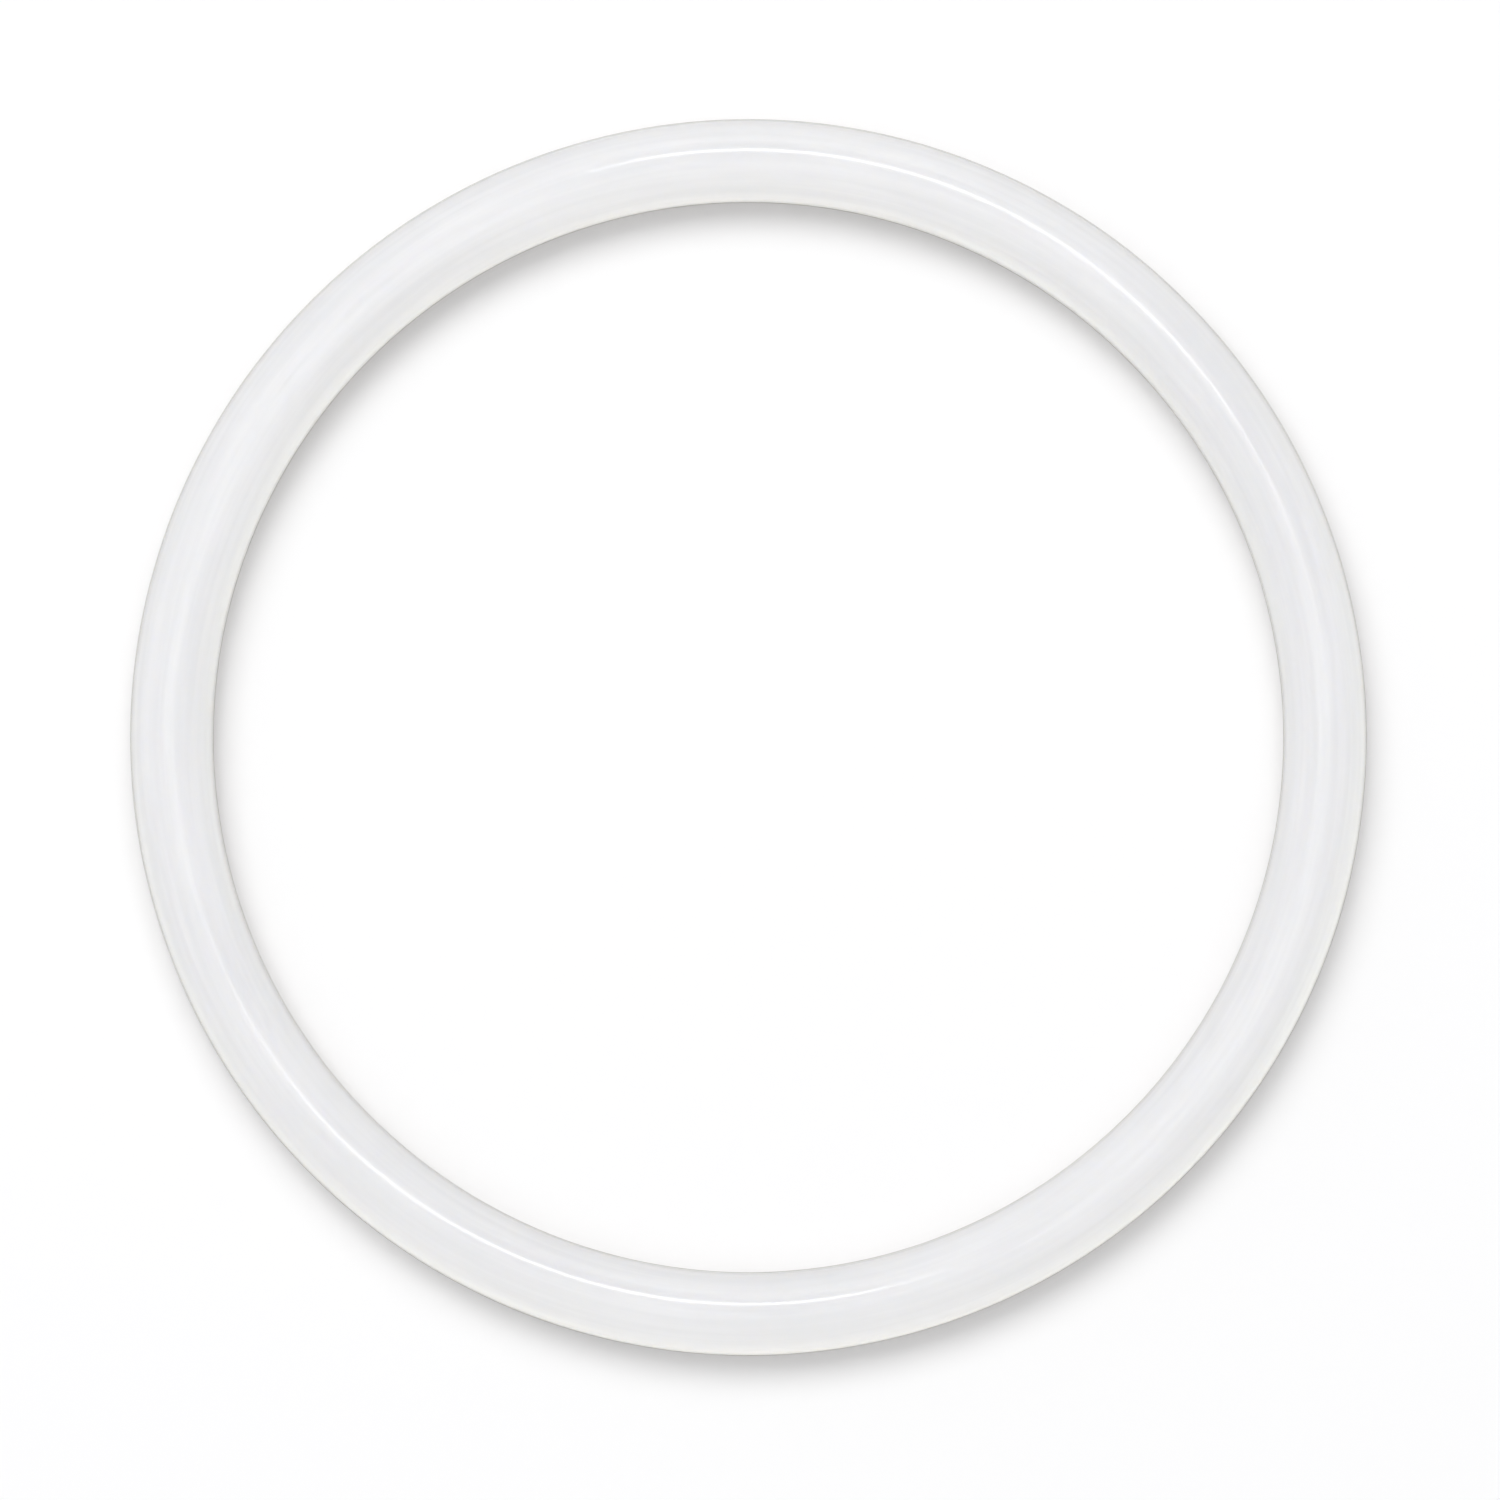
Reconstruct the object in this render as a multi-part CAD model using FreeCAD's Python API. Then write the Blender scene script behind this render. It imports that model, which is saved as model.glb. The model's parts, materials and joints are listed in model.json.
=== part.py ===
import FreeCAD, Part
import math
import os

# A moulded sealing ring of round section, lying flat.
# Millimetres. The origin is the ring's centre, halfway up its section, and +Z is the axis that it is round about.

# Driving dimensions
inside_diameter = 69.22  # across the hole, from one innermost point of the round section to the other
section_diameter = 5.33  # across the round section
parting_line_width = 0.16  # the trimmed flash, measured along the axis
parting_line_projection = 0.05  # how far the trimmed flash stands off the round section

# Worked out from them
section_radius = section_diameter / 2
section_centre_radius = inside_diameter / 2 + section_radius

# The flash runs round the section's innermost and outermost points, where the two halves of the mould meet.
flash_half_width = parting_line_width / 2
flash_reach = section_radius + parting_line_projection
flash_root = math.sqrt(section_radius**2 - flash_half_width**2)


def section_point(outward, up):
    """A point of the section, given by its distances from the section's own centre."""
    return FreeCAD.Vector(section_centre_radius + outward, 0, up)


def half_round(up):
    """The round stretch over (up 1) or under (up -1) the section, from its inner flash to its outer one."""
    start = section_point(-flash_root, up * flash_half_width)
    crown = section_point(0, up * section_radius)
    end = section_point(flash_root, up * flash_half_width)
    return Part.Arc(start, crown, end).toShape()


def flash_land(outward):
    """The trimmed flash at the outer (outward 1) or inner (outward -1) side: two short flanks and a narrow land."""
    upper_root = section_point(outward * flash_root, flash_half_width)
    upper_edge = section_point(outward * flash_reach, flash_half_width)
    lower_edge = section_point(outward * flash_reach, -flash_half_width)
    lower_root = section_point(outward * flash_root, -flash_half_width)
    corners = [upper_root, upper_edge, lower_edge, lower_root]
    return [Part.LineSegment(a, b).toShape() for a, b in zip(corners, corners[1:])]


def ring():
    """The section turned once round the ring's axis."""
    edges = [half_round(1), *flash_land(1), half_round(-1), *flash_land(-1)]
    section = Part.Face(Part.Wire(Part.sortEdges(edges)[0]))
    centre = FreeCAD.Vector(0, 0, 0)
    axis = FreeCAD.Vector(0, 0, 1)
    return section.revolve(centre, axis, 360)


os.makedirs("parts", exist_ok=True)
ring().exportStep("parts/o_ring.step")
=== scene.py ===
"""A moulded sealing ring of milky silicone, lying flat on a pale floor under soft studio light."""

import json
import logging
import math
from dataclasses import dataclass
from enum import Enum

import bmesh
import bpy
from mathutils import Matrix, Vector, noise


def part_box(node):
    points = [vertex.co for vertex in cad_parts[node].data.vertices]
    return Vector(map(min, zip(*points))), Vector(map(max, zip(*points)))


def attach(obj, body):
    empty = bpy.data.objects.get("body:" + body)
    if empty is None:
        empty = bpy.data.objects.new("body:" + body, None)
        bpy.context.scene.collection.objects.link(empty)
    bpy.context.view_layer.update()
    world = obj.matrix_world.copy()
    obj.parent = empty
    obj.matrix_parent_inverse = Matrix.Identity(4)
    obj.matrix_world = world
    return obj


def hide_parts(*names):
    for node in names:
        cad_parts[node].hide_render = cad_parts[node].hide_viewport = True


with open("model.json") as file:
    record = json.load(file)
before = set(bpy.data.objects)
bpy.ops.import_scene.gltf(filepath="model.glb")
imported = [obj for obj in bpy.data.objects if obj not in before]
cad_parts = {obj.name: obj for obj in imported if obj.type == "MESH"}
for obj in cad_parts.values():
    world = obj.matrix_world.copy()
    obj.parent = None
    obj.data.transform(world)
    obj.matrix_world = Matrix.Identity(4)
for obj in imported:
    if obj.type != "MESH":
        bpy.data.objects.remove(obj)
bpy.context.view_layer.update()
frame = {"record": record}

log = logging.getLogger("sealing_ring")

MILLIMETRE = 0.001
FULL_TURN = 2 * math.pi
RING_NODE = "o_ring"
RING_BODY = "root"

Colour = tuple[float, float, float]


class Side(Enum):
    """The two sides of the ring where the halves of the mould met."""

    SHAFT = -1
    HOUSING = 1


class ShaderGraph:
    """A node tree that is written from left to right, with inputs given by name."""

    def __init__(self, tree: bpy.types.NodeTree) -> None:
        """Takes a tree and empties it.

        Args:
            tree: the node tree of a material or of the world.
        """
        self.tree = tree
        tree.nodes.clear()

    def add(self, kind: str, settings: dict | None = None, inputs: dict | None = None) -> bpy.types.Node:
        """Adds a node.

        Args:
            kind: the node's type name, such as ShaderNodeMath.
            settings: the node's own properties.
            inputs: values or output sockets, by the input's name or number.

        Returns:
            The new node.
        """
        node = self.tree.nodes.new(kind)
        for name, value in (settings or {}).items():
            setattr(node, name, value)
        for key, value in (inputs or {}).items():
            socket = node.inputs[key]
            if isinstance(value, bpy.types.NodeSocket):
                self.tree.links.new(value, socket)
            else:
                socket.default_value = value
        return node

    def math(self, operation: str, *values: float | bpy.types.NodeSocket) -> bpy.types.NodeSocket:
        """Adds a Math node and gives its result.

        Args:
            operation: the Math node's operation.
            values: its inputs, in order.

        Returns:
            The result socket.
        """
        node = self.add("ShaderNodeMath", {"operation": operation}, dict(enumerate(values)))
        return node.outputs[0]

    def vector(self, operation: str, *values: Vector | tuple | bpy.types.NodeSocket) -> bpy.types.Node:
        """Adds a Vector Math node.

        Args:
            operation: the node's operation.
            values: its vector inputs, in order.

        Returns:
            The node, whose result is its Vector or Value output.
        """
        return self.add("ShaderNodeVectorMath", {"operation": operation}, dict(enumerate(values)))

    def fade(
        self, value: bpy.types.NodeSocket, start: float, end: float, low: float = 0.0, high: float = 1.0
    ) -> bpy.types.NodeSocket:
        """Turns a value into a smooth step.

        Args:
            value: the value to read.
            start: where the step starts; it may be above its end.
            end: where the step ends.
            low: the result before the start.
            high: the result past the end.

        Returns:
            The result socket.
        """
        node = self.add(
            "ShaderNodeMapRange",
            {"interpolation_type": "SMOOTHSTEP"},
            {"Value": value, "From Min": start, "From Max": end, "To Min": low, "To Max": high},
        )
        return node.outputs[0]

    def blend(
        self, share: bpy.types.NodeSocket, first: Colour | bpy.types.NodeSocket, second: Colour
    ) -> bpy.types.NodeSocket:
        """Mixes two colours.

        Args:
            share: how much of the second colour shows.
            first: the colour at a share of 0, or a socket that gives it.
            second: the colour at a share of 1.

        Returns:
            The colour socket.
        """
        node = self.add("ShaderNodeMix", {"data_type": "RGBA"}, {7: (*second, 1)})
        self.tree.links.new(share, node.inputs["Factor"])
        if isinstance(first, bpy.types.NodeSocket):
            self.tree.links.new(first, node.inputs[6])
        else:
            node.inputs[6].default_value = (*first, 1)
        return node.outputs[2]

    def finish(self, kind: str, surface: bpy.types.NodeSocket) -> None:
        """Joins a shader to the tree's output.

        Args:
            kind: the output node's type name.
            surface: the shader's socket.
        """
        self.add(kind, inputs={"Surface": surface})


@dataclass(frozen=True)
class FlowMarks:
    """Faint marks that the rubber left as it flowed round the mould.

    They are fine across the section and long round the ring.
    """

    across: float
    along: float
    detail: float
    seed: float

    def draw(self, graph: ShaderGraph, centre_radius: float) -> bpy.types.NodeSocket:
        """Draws the marks as noise on coordinates that are bent round the ring.

        Args:
            graph: the material's nodes.
            centre_radius: the distance from the ring's axis to the centre of its section.

        Returns:
            A socket that runs from 0 to 1, and is mostly near 0.5.
        """
        place = graph.add("ShaderNodeTexCoord").outputs["Object"]
        flat = graph.vector("MULTIPLY", place, (1, 1, 0)).outputs["Vector"]
        reach = graph.vector("LENGTH", flat).outputs["Value"]
        around = graph.vector("NORMALIZE", flat).outputs["Vector"]
        turn = graph.add("ShaderNodeSeparateXYZ", inputs={0: around})
        height = graph.add("ShaderNodeSeparateXYZ", inputs={0: place}).outputs["Z"]
        circle = centre_radius / self.along
        bent = graph.add(
            "ShaderNodeCombineXYZ",
            inputs={
                0: graph.math("DIVIDE", reach, self.across),
                1: graph.math("MULTIPLY_ADD", height, 1 / self.across, self.seed),
                2: graph.math("MULTIPLY", turn.outputs["X"], circle),
            },
        )
        noise_node = graph.add(
            "ShaderNodeTexNoise",
            {"noise_dimensions": "4D"},
            {
                "Vector": bent.outputs[0],
                "W": graph.math("MULTIPLY", turn.outputs["Y"], circle),
                "Scale": 1.0,
                "Detail": self.detail,
                "Roughness": 0.5,
            },
        )
        return noise_node.outputs[0]


@dataclass(frozen=True)
class SiliconeFinish:
    """Milky silicone rubber with a moulded gloss: light soaks deep into it and comes out softened.

    Where the flash was trimmed off, halfway up, the skin is gone and the rubber is dull and opaque. The
    darker colour of that band is partly painted shade, for the dark outline along the ring's edge.
    """

    centre_radius: float
    name: str = "milky_silicone"
    clear_body: Colour = (0.748, 0.728, 0.716)
    cloudy_body: Colour = (0.792, 0.772, 0.759)
    soak_depth: float = 30.0 * MILLIMETRE
    soak_colours: Colour = (1.0, 0.85, 0.70)
    forward_scatter: float = 0.8
    refraction: float = 1.41
    cloud_range: tuple[float, float] = (0.35, 0.65)
    gloss_range: tuple[float, float] = (0.3, 0.7)
    glossiest: float = 0.14
    dullest: float = 0.18
    relief: float = 0.003 * MILLIMETRE
    # Partly painted shade: this darker colour of the band round the parting line draws the dark outline
    # along the ring's edge.
    trimmed_flash_and_painted_edge_shade: Colour = (0.60, 0.59, 0.57)
    trimmed_roughness: float = 0.5
    trim_and_edge_shade_level: float = 0.12 * MILLIMETRE
    trim_and_edge_shade_end: float = 0.40 * MILLIMETRE
    clouds: FlowMarks = FlowMarks(across=2.2 * MILLIMETRE, along=12 * MILLIMETRE, detail=2.0, seed=3.1)
    streaks: FlowMarks = FlowMarks(across=0.45 * MILLIMETRE, along=16 * MILLIMETRE, detail=2.0, seed=11.7)

    def material(self) -> bpy.types.Material:
        """Builds the finish.

        Returns:
            The material.
        """
        made = bpy.data.materials.new(self.name)
        made.use_nodes = True
        graph = ShaderGraph(made.node_tree)
        clouds = self.clouds.draw(graph, self.centre_radius)
        streaks = self.streaks.draw(graph, self.centre_radius)
        both = graph.math("MULTIPLY_ADD", clouds, 0.5, graph.math("MULTIPLY", streaks, 0.5))
        place = graph.add("ShaderNodeTexCoord").outputs["Object"]
        height = graph.add("ShaderNodeSeparateXYZ", inputs={0: place}).outputs["Z"]
        # The band round the parting line is partly painted shade: its darker, opaque colour draws the dark
        # outline at the ring's edge.
        trim_and_edge_shade = graph.fade(graph.math("ABSOLUTE", height), self.trim_and_edge_shade_end, self.trim_and_edge_shade_level)
        relief = graph.add(
            "ShaderNodeBump", inputs={"Strength": 1.0, "Distance": self.relief, "Height": streaks}
        )
        body = graph.blend(graph.fade(both, *self.cloud_range), self.clear_body, self.cloudy_body)
        gloss = graph.fade(clouds, *self.gloss_range, self.glossiest, self.dullest)
        shader = graph.add(
            "ShaderNodeBsdfPrincipled",
            {"subsurface_method": "RANDOM_WALK_SKIN"},
            {
                "Base Color": graph.blend(trim_and_edge_shade, body, self.trimmed_flash_and_painted_edge_shade),
                "Subsurface Weight": graph.math("SUBTRACT", 1.0, trim_and_edge_shade),
                "Subsurface Radius": self.soak_colours,
                "Subsurface Scale": self.soak_depth,
                "Subsurface IOR": self.refraction,
                "Subsurface Anisotropy": self.forward_scatter,
                "Roughness": graph.math("MULTIPLY_ADD", trim_and_edge_shade, self.trimmed_roughness, gloss),
                "IOR": self.refraction,
                "Normal": relief.outputs[0],
            },
        )
        graph.finish("ShaderNodeOutputMaterial", shader.outputs[0])
        return made


@dataclass(frozen=True)
class FloorFinish:
    """A matt white sweep."""

    name: str = "pale_floor"
    body: Colour = (0.93, 0.93, 0.93)
    roughness: float = 1.0

    def material(self) -> bpy.types.Material:
        """Builds the finish.

        Returns:
            The material.
        """
        made = bpy.data.materials.new(self.name)
        made.use_nodes = True
        graph = ShaderGraph(made.node_tree)
        shader = graph.add(
            "ShaderNodeBsdfPrincipled",
            inputs={"Base Color": (*self.body, 1), "Roughness": self.roughness, "Specular IOR Level": 0.0},
        )
        graph.finish("ShaderNodeOutputMaterial", shader.outputs[0])
        return made


@dataclass
class SealingRing:
    """The ring: a round section turned about the upright axis, with its parting line's trimmed flash."""

    outer_reach: float
    inner_reach: float
    height: float
    flash_width: float
    slices: int = 32
    steps_a_slice: int = 24
    flash_edge: float = 0.015 * MILLIMETRE
    flash_unevenness: float = 0.02 * MILLIMETRE
    flash_wander: float = 4.0 * MILLIMETRE
    flash_seed: float = 5.0

    @classmethod
    def from_frame(cls) -> "SealingRing":
        """Reads the ring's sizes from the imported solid's box and its mounts.

        Returns:
            The ring.
        """
        low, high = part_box(RING_NODE)
        mounts = {mount["name"]: mount["dims"] for mount in frame["record"]["mounts"]}
        shaft_side = mounts["shaft_side"]
        return cls(
            outer_reach=min(-low[0], high[0], -low[1], high[1]),
            inner_reach=shaft_side["r_mm"] * MILLIMETRE,
            height=high[2] - low[2],
            flash_width=shaft_side["length_mm"] * MILLIMETRE,
        )

    @property
    def section_radius(self) -> float:
        """The radius of the round section."""
        return self.height / 2

    @property
    def centre_radius(self) -> float:
        """The distance from the ring's axis to the centre of its section."""
        return (self.outer_reach + self.inner_reach) / 2

    @property
    def steps_over(self) -> int:
        """The chords round the section: a multiple of four, with the flash as wide as one of them."""
        chord_turn = 2 * math.asin(self.flash_width / self.height)
        return 4 * round(FULL_TURN / chord_turn / 4)

    def reach(self, side: Side) -> float:
        """The distance from the axis to the flash's land on one side."""
        return self.outer_reach if side is Side.HOUSING else self.inner_reach

    def build(self) -> bpy.types.Object:
        """Models the ring.

        Returns:
            The ring's object.
        """
        form = bmesh.new()
        self._turn_slice(form)
        self._turn_ring(form)
        for side in Side:
            self._raise_flash(form, side)
        for face in form.faces:
            face.smooth = True
        mesh = bpy.data.meshes.new("moulded_ring")
        form.to_mesh(mesh)
        form.free()
        ring = bpy.data.objects.new("moulded_ring", mesh)
        bpy.context.scene.collection.objects.link(ring)
        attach(ring, RING_BODY)
        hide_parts(RING_NODE)
        return ring

    def _turn_slice(self, form: bmesh.types.BMesh) -> None:
        """Draws the round section, with an upright chord at each side, and spins it into one slice.

        Args:
            form: the mesh to draw in.
        """
        half_chord = math.pi / self.steps_over
        place = Matrix.Translation((self.centre_radius, 0, 0))
        upright = Matrix.Rotation(math.pi / 2, 4, "X") @ Matrix.Rotation(half_chord, 4, "Z")
        bmesh.ops.create_circle(
            form,
            cap_ends=False,
            segments=self.steps_over,
            radius=self.section_radius,
            matrix=place @ upright,
        )
        self._spin(form, FULL_TURN / self.slices, self.steps_a_slice, copies=False)

    def _turn_ring(self, form: bmesh.types.BMesh) -> None:
        """Spins copies of the slice round the axis and joins them into one closed ring.

        Args:
            form: the mesh that holds the slice.
        """
        self._spin(form, FULL_TURN * (1 - 1 / self.slices), self.slices - 1, copies=True)
        bmesh.ops.remove_doubles(form, verts=form.verts, dist=self.flash_width / 100)
        bmesh.ops.recalc_face_normals(form, faces=form.faces)

    def _spin(self, form: bmesh.types.BMesh, turn: float, steps: int, copies: bool) -> None:
        """Spins all of a mesh about the ring's axis.

        Args:
            form: the mesh.
            turn: the angle to spin through.
            steps: how many steps it is spun in.
            copies: whether the steps are separate copies or joined by faces.
        """
        bmesh.ops.spin(
            form,
            geom=form.verts[:] + form.edges[:] + form.faces[:],
            cent=(0, 0, 0),
            axis=(0, 0, 1),
            angle=turn,
            steps=steps,
            use_merge=False,
            use_duplicate=copies,
        )

    def _raise_flash(self, form: bmesh.types.BMesh, side: Side) -> None:
        """Pulls the band of faces halfway up one side out to the flash's land, and rounds the land's edges.

        Args:
            form: the ring's mesh.
            side: the side to work on.
        """
        level = self.flash_width / 4
        band = [face for face in form.faces if self._is_on_band(face, side, level)]
        roots = {edge for face in band for edge in face.edges if edge.verts[0].co.z * edge.verts[1].co.z > 0}
        pulled = bmesh.ops.extrude_face_region(form, geom=band)["geom"]
        bmesh.ops.delete(form, geom=band, context="FACES")
        for vert in [item for item in pulled if isinstance(item, bmesh.types.BMVert)]:
            vert.co.xy = vert.co.xy.normalized() * self._trimmed_reach(vert.co, side)
        for edge in roots:
            edge.smooth = False
        rims = [
            item
            for item in pulled
            if isinstance(item, bmesh.types.BMEdge) and item.verts[0].co.z * item.verts[1].co.z > 0
        ]
        bmesh.ops.bevel(
            form,
            geom=rims,
            offset=self.flash_edge,
            segments=1,
            profile=0.5,
            material=-1,
            affect="EDGES",
        )

    def _trimmed_reach(self, place: Vector, side: Side) -> float:
        """The distance from the axis to the land at one place, where the trimming left it a little uneven.

        Args:
            place: a point of the land.
            side: the side that it is on.

        Returns:
            The distance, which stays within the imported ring's.
        """
        around = place.xy.normalized() * (self.centre_radius / self.flash_wander)
        cut = 0.5 + 0.5 * noise.noise((around.x, around.y, self.flash_seed * side.value))
        return self.reach(side) - side.value * self.flash_unevenness * min(max(cut, 0.0), 1.0)

    def _is_on_band(self, face: bmesh.types.BMFace, side: Side, level: float) -> bool:
        """Says whether a face lies halfway up the section on the given side."""
        middle = face.calc_center_median()
        return abs(middle.z) < level and (middle.xy.length - self.centre_radius) * side.value > 0


@dataclass(frozen=True)
class SoftLamp:
    """A round soft box that faces the ring from a direction in the sky. It lights, and isn't mirrored."""

    name: str
    azimuth: float
    zenith: float
    reach: float
    glow: float
    distance: float = 1.5

    def build(self) -> None:
        """Hangs the lamp."""
        data = bpy.data.lights.new(self.name, "AREA")
        data.shape = "DISK"
        data.size = 2 * self.distance * math.tan(math.radians(self.reach))
        data.energy = math.pi * data.size**2 * self.glow
        lamp = bpy.data.objects.new(self.name, data)
        towards = sky_direction(self.azimuth, self.zenith)
        lamp.location = towards * self.distance
        lamp.rotation_euler = towards.to_track_quat("Z", "Y").to_euler()
        lamp.visible_glossy = False
        bpy.context.scene.collection.objects.link(lamp)


@dataclass(frozen=True)
class StripLight:
    """A flat strip of light over the ring that is mirrored, and doesn't light.

    Its place and width are shares of its height.
    """

    name: str
    start: tuple[float, float]
    end: tuple[float, float]
    width: float
    glow: float
    height: float = 4.0

    def build(self) -> None:
        """Hangs the strip, shining down."""
        start, end = Vector(self.start) * self.height, Vector(self.end) * self.height
        data = bpy.data.lights.new(self.name, "AREA")
        data.shape = "RECTANGLE"
        data.size = (end - start).length
        data.size_y = self.width * self.height
        data.energy = 4 * data.size * data.size_y * self.glow
        strip = bpy.data.objects.new(self.name, data)
        strip.location = (*((start + end) / 2), self.height)
        strip.rotation_euler.z = math.atan2(end.y - start.y, end.x - start.x)
        strip.visible_diffuse = False
        bpy.context.scene.collection.objects.link(strip)


@dataclass(frozen=True)
class StripStation:
    """How wide and how bright a bent strip light is at one place along it."""

    turn: float
    width: float
    glow: float


@dataclass(frozen=True)
class BentStripLight:
    """A strip light that is bent along an arc of a leaning ellipse, and widens and brightens along it."""

    name: str
    centre: tuple[float, float]
    half_axes: tuple[float, float]
    lean: float
    stations: tuple[StripStation, ...]
    pieces_a_span: int = 4

    def build(self) -> None:
        """Hangs the strip as a row of short straight ones, a few between each station and the next."""
        for span, (before, after) in enumerate(zip(self.stations, self.stations[1:])):
            step = (after.turn - before.turn) / self.pieces_a_span
            for number in range(self.pieces_a_span):
                turn = before.turn + number * step
                share = (number + 0.5) / self.pieces_a_span
                width = before.width + (after.width - before.width) * share
                glow = before.glow + (after.glow - before.glow) * share
                name = f"{self.name}_{span * self.pieces_a_span + number + 1}"
                StripLight(name, self.point(turn), self.point(turn + step), width, glow).build()

    def point(self, turn: float) -> tuple[float, float]:
        """Finds a point of the strip's middle line.

        Args:
            turn: degrees round the ellipse.

        Returns:
            The point, as shares of the strip's height.
        """
        across = self.half_axes[0] * math.cos(math.radians(turn))
        along = self.half_axes[1] * math.sin(math.radians(turn))
        spot = Matrix.Rotation(math.radians(self.lean), 2) @ Vector((across, along)) + Vector(self.centre)
        return spot.x, spot.y


@dataclass(frozen=True)
class SkyPatch:
    """A soft round patch or ring of light in the sky, or of shade where its glow is below nothing.

    Its reaches are degrees from its middle.
    """

    name: str
    azimuth: float
    zenith: float
    reach: float
    edge: float
    glow: float
    tint: Colour = (1.0, 1.0, 1.0)
    hole: float = 0.0
    hole_edge: float = 0.0

    def draw(self, graph: ShaderGraph, direction: bpy.types.NodeSocket) -> bpy.types.NodeSocket:
        """Draws the patch.

        Args:
            graph: the world's nodes.
            direction: the direction that a ray looks in.

        Returns:
            The patch's light, as a vector of its three colours.
        """
        towards = sky_direction(self.azimuth, self.zenith)
        nearness = graph.vector("DOT_PRODUCT", direction, towards).outputs["Value"]
        shape = graph.fade(nearness, cosine(self.reach), cosine(self.reach - self.edge))
        if self.hole:
            ring = graph.fade(nearness, cosine(self.hole), cosine(self.hole + self.hole_edge))
            shape = graph.math("MULTIPLY", shape, ring)
        light = graph.add("ShaderNodeVectorMath", {"operation": "SCALE"}, {0: self.tint})
        light.label = self.name
        graph.tree.links.new(graph.math("MULTIPLY", shape, self.glow), light.inputs["Scale"])
        return light.outputs["Vector"]


@dataclass(frozen=True)
class Sky:
    """An even room light with patches on it."""

    room: Colour
    patches: tuple[SkyPatch, ...]

    def draw(self, graph: ShaderGraph, direction: bpy.types.NodeSocket) -> bpy.types.NodeSocket:
        """Draws the sky.

        Args:
            graph: the world's nodes.
            direction: the direction that a ray looks in.

        Returns:
            The light as a vector of its three colours, none of them below nothing.
        """
        total = self.room
        for patch in self.patches:
            total = graph.vector("ADD", total, patch.draw(graph, direction)).outputs["Vector"]
        return graph.vector("MAXIMUM", total, (0, 0, 0)).outputs["Vector"]


@dataclass(frozen=True)
class Studio:
    """The pale floor, the lamps and the room's light.

    The lamps' places and glow, the hook's ellipse and the patches of both skies, with their tints,
    were fitted to the photographed ring and its shadow by separate programs and then rounded, and
    some were set by hand afterwards. They aren't the measures of a real studio.
    """

    ring: SealingRing
    floor_side: float = 8.0
    right_key: SoftLamp = SoftLamp("right_key", azimuth=85, zenith=28, reach=15, glow=2.36)
    left_key: SoftLamp = SoftLamp("left_key", azimuth=125, zenith=28, reach=15, glow=2.93)
    hook: BentStripLight = BentStripLight(
        "hook",
        centre=(-0.126, 0.200),
        half_axes=(0.285, 0.432),
        lean=-36.2,
        stations=(
            StripStation(turn=0, width=0.065, glow=1.3),
            StripStation(turn=6, width=0.056, glow=2.2),
            StripStation(turn=11, width=0.052, glow=8.0),
            StripStation(turn=18, width=0.054, glow=14.0),
            StripStation(turn=32, width=0.052, glow=12.5),
            StripStation(turn=46, width=0.064, glow=10.5),
            StripStation(turn=62, width=0.082, glow=9.6),
            StripStation(turn=85, width=0.120, glow=10.5),
            StripStation(turn=133, width=0.125, glow=11.0),
            StripStation(turn=146, width=0.120, glow=2.5),
        ),
    )
    bar: StripLight = StripLight(
        "overhead_bar", start=(-0.34, 0.03), end=(0.19, 0.02), width=0.12, glow=1.8
    )
    soft_sky: Sky = Sky(
        room=(0.482, 0.482, 0.488),
        patches=(
            SkyPatch("overhead", azimuth=0, zenith=0, reach=45, edge=25, glow=0.39),
            SkyPatch("left_back", azimuth=140, zenith=50, reach=45, edge=25, glow=0.22),
            SkyPatch("front_low", azimuth=285, zenith=88, reach=60, edge=40, glow=0.25),
            SkyPatch("right_low", azimuth=15, zenith=80, reach=50, edge=35, glow=0.07),
        ),
    )
    mirrored_sky: Sky = Sky(
        room=(0.53, 0.515, 0.48),
        patches=(
            SkyPatch(
                "back_light", azimuth=93, zenith=34, reach=46, edge=17, glow=1.30, hole=10, hole_edge=10
            ),
            SkyPatch(
                "back_low_light", azimuth=86, zenith=67, reach=23, edge=16, glow=0.84,
                tint=(1.04, 1.04, 0.92),
            ),
            SkyPatch(
                "front_low_light", azimuth=275, zenith=95, reach=45, edge=36, glow=1.05,
                tint=(1.0, 1.03, 0.97),
            ),
            SkyPatch("overhead_shade", azimuth=92, zenith=12, reach=21, edge=17, glow=-1.80),
            SkyPatch("back_shade", azimuth=82, zenith=46, reach=14, edge=14, glow=-1.60),
            SkyPatch("right_back_shade", azimuth=42, zenith=35, reach=29, edge=29, glow=-2.0),
            SkyPatch("right_front_shade", azimuth=335, zenith=53, reach=42, edge=40, glow=-1.35),
            SkyPatch("front_high_light", azimuth=253, zenith=18, reach=14, edge=8, glow=0.44),
            SkyPatch(
                "left_front_light", azimuth=221, zenith=38, reach=15, edge=15, glow=0.91,
                tint=(1.05, 1.0, 0.85),
            ),
            SkyPatch(
                "left_light", azimuth=178, zenith=58, reach=30, edge=16, glow=0.71,
                tint=(1.06, 0.92, 1.02),
            ),
            SkyPatch(
                "right_light", azimuth=6, zenith=43, reach=35, edge=35, glow=1.40,
                tint=(0.99, 0.94, 1.08),
            ),
            SkyPatch(
                "back_low_shade", azimuth=111, zenith=79, reach=63, edge=51, glow=-0.98,
                tint=(0.92, 1.0, 1.08),
            ),
            SkyPatch(
                "wide_front_light", azimuth=287, zenith=85, reach=88, edge=42, glow=1.14,
                tint=(1.07, 1.04, 0.89),
            ),
            SkyPatch(
                "left_low_light", azimuth=215, zenith=116, reach=43, edge=33, glow=0.84,
                tint=(1.0, 1.08, 0.92),
            ),
            SkyPatch(
                "right_low_light", azimuth=350, zenith=101, reach=58, edge=44, glow=0.83,
                tint=(1.0, 1.08, 0.92),
            ),
        ),
    )

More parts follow.
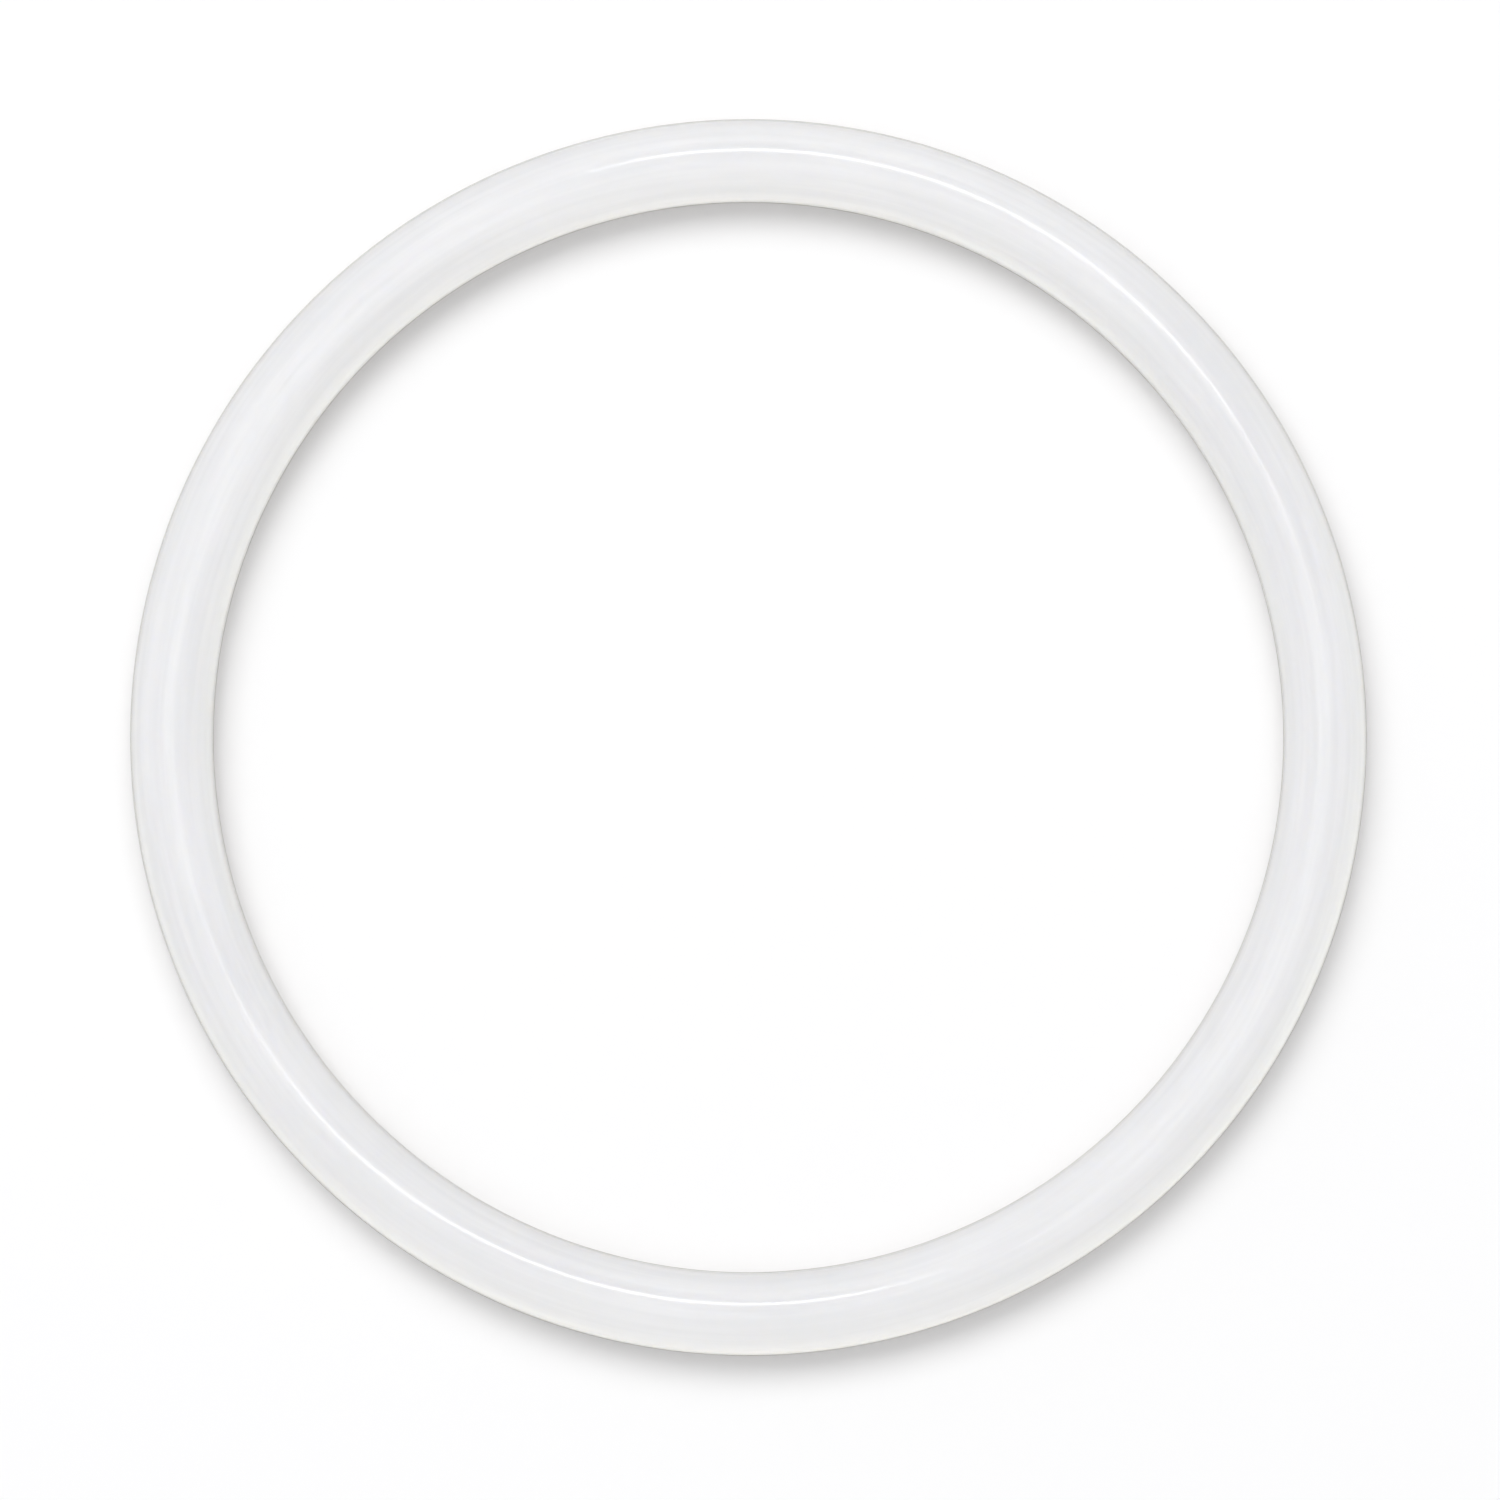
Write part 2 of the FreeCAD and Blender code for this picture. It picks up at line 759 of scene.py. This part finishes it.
    def build(self) -> None:
        """Lays the floor, lights the room and sets the colours' exposure."""
        self._lay_floor()
        self._light_room()
        for lamp in (self.right_key, self.left_key, self.hook, self.bar):
            lamp.build()
        bpy.context.scene.view_settings.view_transform = "Standard"

    def _lay_floor(self) -> None:
        """Lays the floor under the ring. The ring mirrors the low part of the sky in its place."""
        form = bmesh.new()
        bmesh.ops.create_grid(form, x_segments=1, y_segments=1, size=self.floor_side / 2)
        bmesh.ops.translate(form, verts=form.verts, vec=(0, 0, -self.ring.section_radius))
        mesh = bpy.data.meshes.new("studio_floor")
        form.to_mesh(mesh)
        form.free()
        mesh.materials.append(FloorFinish().material())
        floor = bpy.data.objects.new("studio_floor", mesh)
        floor.visible_glossy = False
        bpy.context.scene.collection.objects.link(floor)

    def _light_room(self) -> None:
        """Lights the room with the soft sky, and gives what mirrors it the mirrored sky instead."""
        world = bpy.data.worlds.new("studio_sky")
        world.use_nodes = True
        graph = ShaderGraph(world.node_tree)
        direction = graph.add("ShaderNodeTexCoord").outputs["Generated"]
        soft = graph.add("ShaderNodeBackground", inputs={"Strength": 1.0})
        mirrored = graph.add("ShaderNodeBackground", inputs={"Strength": 1.0})
        graph.tree.links.new(self.soft_sky.draw(graph, direction), soft.inputs["Color"])
        graph.tree.links.new(self.mirrored_sky.draw(graph, direction), mirrored.inputs["Color"])
        glossy = graph.add("ShaderNodeLightPath").outputs["Is Glossy Ray"]
        light = graph.add(
            "ShaderNodeMixShader", inputs={0: glossy, 1: soft.outputs[0], 2: mirrored.outputs[0]}
        )
        graph.finish("ShaderNodeOutputWorld", light.outputs[0])
        bpy.context.scene.world = world


@dataclass(frozen=True)
class OverheadCamera:
    """A long lens that looks straight down on the ring, framed as the photograph is."""

    ring_radius: float
    picture_side: float = 1500
    ring_centre: tuple[float, float] = (748.5, 737.5)
    ring_radius_in_picture: float = 618.4
    lens: float = 300
    sensor: float = 36

    def build(self) -> None:
        """Hangs the camera."""
        data = bpy.data.cameras.new("overhead_camera")
        data.lens = self.lens
        data.sensor_width = self.sensor
        scale = self.ring_radius / self.ring_radius_in_picture
        view_side = scale * self.picture_side
        height = view_side * self.lens / self.sensor
        data.clip_start = height / 100
        data.clip_end = height * 100
        camera = bpy.data.objects.new("overhead_camera", data)
        right = (self.picture_side / 2 - self.ring_centre[0]) * scale
        up = (self.ring_centre[1] - self.picture_side / 2) * scale
        camera.location = (right, up, height)
        bpy.context.scene.collection.objects.link(camera)
        bpy.context.scene.camera = camera


def sky_direction(azimuth: float, zenith: float) -> Vector:
    """The unit vector towards a point in the sky.

    Args:
        azimuth: degrees from +X towards +Y.
        zenith: degrees from straight up.

    Returns:
        The vector.
    """
    around, down = math.radians(azimuth), math.radians(zenith)
    return Vector((math.sin(down) * math.cos(around), math.sin(down) * math.sin(around), math.cos(down)))


def cosine(degrees: float) -> float:
    """The cosine of an angle in degrees."""
    return math.cos(math.radians(degrees))


def main() -> None:
    """Builds the ring, then the studio round it."""
    logging.basicConfig(level=logging.INFO, format="%(name)s: %(message)s")
    ring_form = SealingRing.from_frame()
    ring = ring_form.build()
    ring.data.materials.append(SiliconeFinish(ring_form.centre_radius).material())
    log.info("%s: %d faces", ring.name, len(ring.data.polygons))
    Studio(ring_form).build()
    OverheadCamera(ring_radius=ring_form.outer_reach).build()
    log.info("studio: floor, sky, lamps and camera")


if __name__ == "__main__":
    main()
